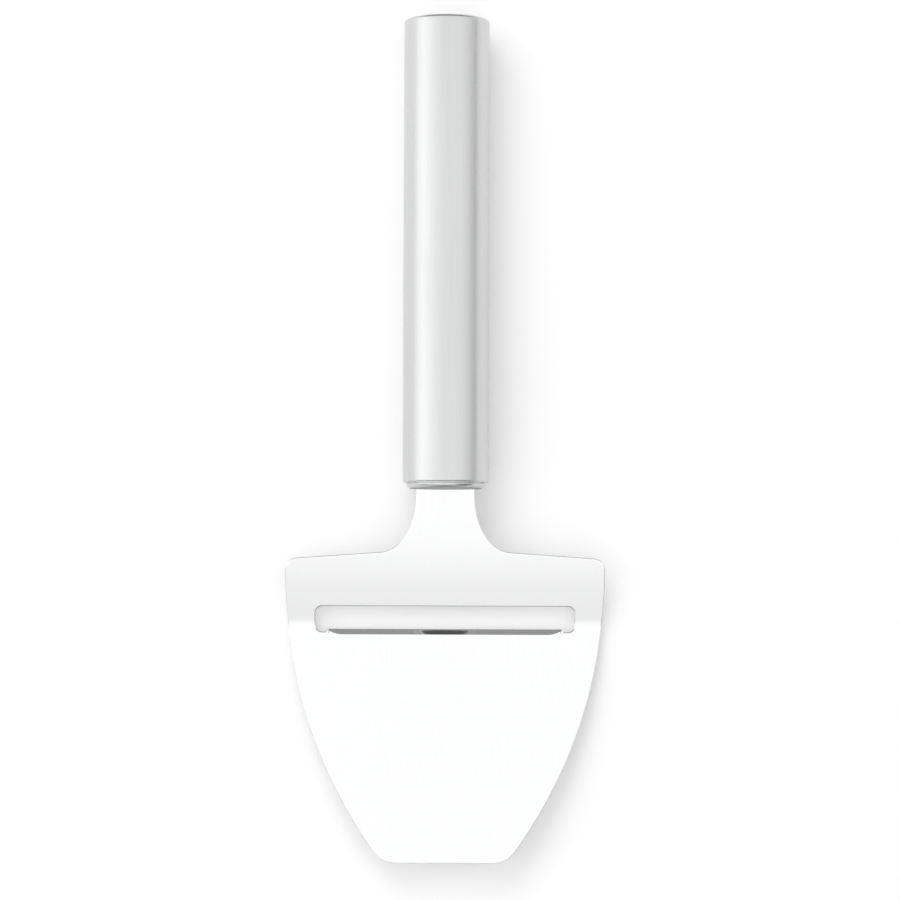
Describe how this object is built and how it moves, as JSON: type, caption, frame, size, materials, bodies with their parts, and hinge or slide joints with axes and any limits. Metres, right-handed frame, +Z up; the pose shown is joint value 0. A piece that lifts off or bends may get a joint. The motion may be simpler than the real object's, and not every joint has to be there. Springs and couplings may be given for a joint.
{
  "type": "cheese slicer",
  "caption": "Cheese slicer: wide steel blade with a slotted cutting edge, bent at the heel, on a round tube handle.",
  "frame": {"origin": "centre of the bounding box's underside, on the table that the slicer lies on", "axes": "+Y along the handle towards its closed end, the blade's tip towards -Y, +Z up from the table, +X across the blade"},
  "size_m": [0.0896, 0.236, 0.024],
  "materials": {
    "matt_steel": "fine brushed, matt",
    "polished_steel": "polished",
    "nylon": "as moulded"
  },
  "bodies": {
    "root": {"blade_plate": "polished_steel", "front_bolster": "matt_steel", "handle_tube": "matt_steel", "end_cap": "matt_steel", "tang_core_upper": "nylon", "tang_core_lower": "nylon", "tang_pin_front": "polished_steel", "tang_pin_rear": "polished_steel"}
  },
  "joints": []
}
